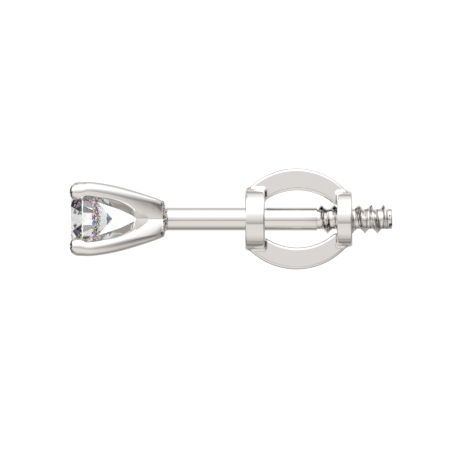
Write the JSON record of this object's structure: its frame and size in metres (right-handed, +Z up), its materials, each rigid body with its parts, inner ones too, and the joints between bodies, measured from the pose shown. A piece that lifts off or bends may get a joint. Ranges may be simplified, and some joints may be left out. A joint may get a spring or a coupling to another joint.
{
  "type": "stud earring",
  "caption": "Stud earring: a round brilliant in a claw setting on a straight post, with a screw nut whose discs are joined by a flat oval ring.",
  "frame": {"origin": "centre of the footprint, on the surface that the earring rests on", "axes": "+X along the post towards its threaded end, dipping 2.1 degrees as it rests; +Y across the nut's flat ring; +Z up"},
  "size_m": [0.014, 0.0044, 0.0032],
  "materials": {
    "stone": "polished, faceted",
    "metal": "polished white gold",
    "nut_metal": "polished white gold"
  },
  "bodies": {
    "earring": {"setting_post": "metal", "stone": "stone"},
    "nut": {"screw_nut": "nut_metal"}
  },
  "joints": [
    {"name": "nut_slide", "type": "slide", "parent": "earring", "child": "nut", "axis": [0.9993, 0, -0.037], "range_m": [-0.00085, 0.0065]}
  ]
}
